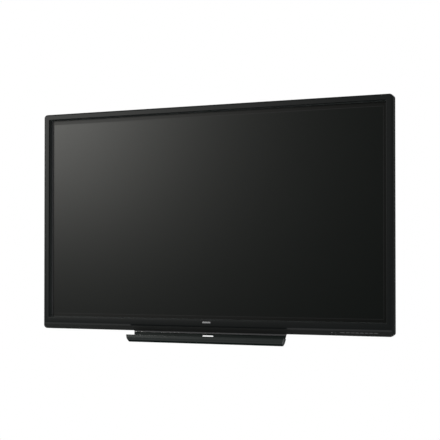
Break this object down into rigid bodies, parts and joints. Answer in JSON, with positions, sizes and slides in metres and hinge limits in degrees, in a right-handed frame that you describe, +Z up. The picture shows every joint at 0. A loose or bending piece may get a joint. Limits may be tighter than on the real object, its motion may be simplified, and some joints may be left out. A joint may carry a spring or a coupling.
{
  "type": "interactive display",
  "caption": "Large wall-held touch display: glass-fronted panel in a black frame with a creased lower rail, rear cover with vents and handles, and a pen tray below.",
  "frame": {"origin": "centre of the four rear mounting bosses, on their rear faces", "axes": "+X along the screen's width, +Y out of the rear, +Z up; the screen faces -Y"},
  "size_m": [1.628, 0.1463, 1.0321],
  "materials": {
    "black_moulding": "fine satin moulded black",
    "tray_moulding": "glossy black moulding",
    "infrared_window": "dark polished",
    "circuit_board": "green solder mask",
    "dark_epoxy": "moulded",
    "screen_glass": "anti-glare, dark behind",
    "foam_seal": "closed-cell foam",
    "zinc_steel": "zinc-coated sheet",
    "panel_stack": "polariser film over glass",
    "grey_plastic": "moulded",
    "film": "white sheet",
    "clear_acrylic": "polished",
    "black_screw": "black oxide",
    "aluminium": "extruded",
    "painted_cover": "fine texture black powder coat",
    "socket_shell": "nickel plated",
    "handle_steel": "satin black",
    "light_pipe": "frosted",
    "key_cap": "satin"
  },
  "bodies": {
    "display": {"front_bezel": "black_moulding", "touch_window_frame": "infrared_window", "touch_sensor_boards": "circuit_board", "touch_emitters": "dark_epoxy", "protective_glass": "screen_glass", "glass_gasket": "foam_seal", "panel_front_frame": "zinc_steel", "lcd_panel": "panel_stack", "panel_middle_frame": "grey_plastic", "optical_films": "film", "light_guide": "clear_acrylic", "backlight_led_bars": "circuit_board", "reflector_sheet": "film", "back_chassis": "zinc_steel", "mounting_rail_left": "zinc_steel", "mounting_rail_right": "zinc_steel", "mounting_bosses": "zinc_steel", "bezel_brackets": "zinc_steel", "bracket_screws": "black_screw", "board_spacers": "zinc_steel", "power_supply_board": "circuit_board", "led_driver_board": "circuit_board", "timing_board": "circuit_board", "main_board": "circuit_board", "main_heat_sink": "aluminium", "touch_controller_board": "circuit_board", "panel_edge_boards": "circuit_board", "speaker_left": "grey_plastic", "speaker_right": "grey_plastic", "rear_cover": "painted_cover", "rear_cover_screws": "black_screw", "terminal_panel": "zinc_steel", "terminal_sockets": "socket_shell", "power_inlet": "black_moulding", "switch_housing": "black_moulding", "fan_frame_left": "black_moulding", "fan_frame_right": "black_moulding", "carry_handles": "handle_steel", "handle_nuts": "zinc_steel", "key_board": "circuit_board", "status_light_pipe": "light_pipe", "remote_sensor_window": "infrared_window", "tray_body": "tray_moulding", "tray_end_left": "tray_moulding", "tray_end_right": "tray_moulding", "tray_screws": "black_screw"},
    "rocker": {"switch_rocker": "black_moulding"},
    "fan_left": {"fan_rotor_left": "black_moulding"},
    "fan_right": {"fan_rotor_right": "black_moulding"},
    "key_1": {"key_1": "key_cap"},
    "key_2": {"key_2": "key_cap"},
    "key_3": {"key_3": "key_cap"},
    "key_4": {"key_4": "key_cap"},
    "key_5": {"key_5": "key_cap"},
    "key_6": {"key_6": "key_cap"},
    "key_7": {"key_7": "key_cap"},
    "key_8": {"key_8": "key_cap"}
  },
  "joints": [
    {"name": "press_1", "type": "slide", "parent": "display", "child": "key_1", "axis": [0, 0, 1], "range_m": [0, 0.0008], "stiffness_N_per_m": 1500},
    {"name": "press_2", "type": "slide", "parent": "display", "child": "key_2", "axis": [0, 0, 1], "range_m": [0, 0.0008], "stiffness_N_per_m": 1500},
    {"name": "press_3", "type": "slide", "parent": "display", "child": "key_3", "axis": [0, 0, 1], "range_m": [0, 0.0008], "stiffness_N_per_m": 1500},
    {"name": "press_4", "type": "slide", "parent": "display", "child": "key_4", "axis": [0, 0, 1], "range_m": [0, 0.0008], "stiffness_N_per_m": 1500},
    {"name": "press_5", "type": "slide", "parent": "display", "child": "key_5", "axis": [0, 0, 1], "range_m": [0, 0.0008], "stiffness_N_per_m": 1500},
    {"name": "press_6", "type": "slide", "parent": "display", "child": "key_6", "axis": [0, 0, 1], "range_m": [0, 0.0008], "stiffness_N_per_m": 1500},
    {"name": "press_7", "type": "slide", "parent": "display", "child": "key_7", "axis": [0, 0, 1], "range_m": [0, 0.0008], "stiffness_N_per_m": 1500},
    {"name": "press_8", "type": "slide", "parent": "display", "child": "key_8", "axis": [0, 0, 1], "range_m": [0, 0.0008], "stiffness_N_per_m": 1500},
    {"name": "rocker_tip", "type": "hinge", "parent": "display", "child": "rocker", "pos_m": [-0.41, -0.028, -0.36], "axis": [1, 0, 0], "range_deg": [0, 22]},
    {"name": "fan_spin_left", "type": "hinge", "parent": "display", "child": "fan_left", "pos_m": [-0.34, -0.02, 0.25], "axis": [0, 1, 0], "continuous": true},
    {"name": "fan_spin_right", "type": "hinge", "parent": "display", "child": "fan_right", "pos_m": [0.34, -0.02, 0.25], "axis": [0, 1, 0], "continuous": true}
  ]
}
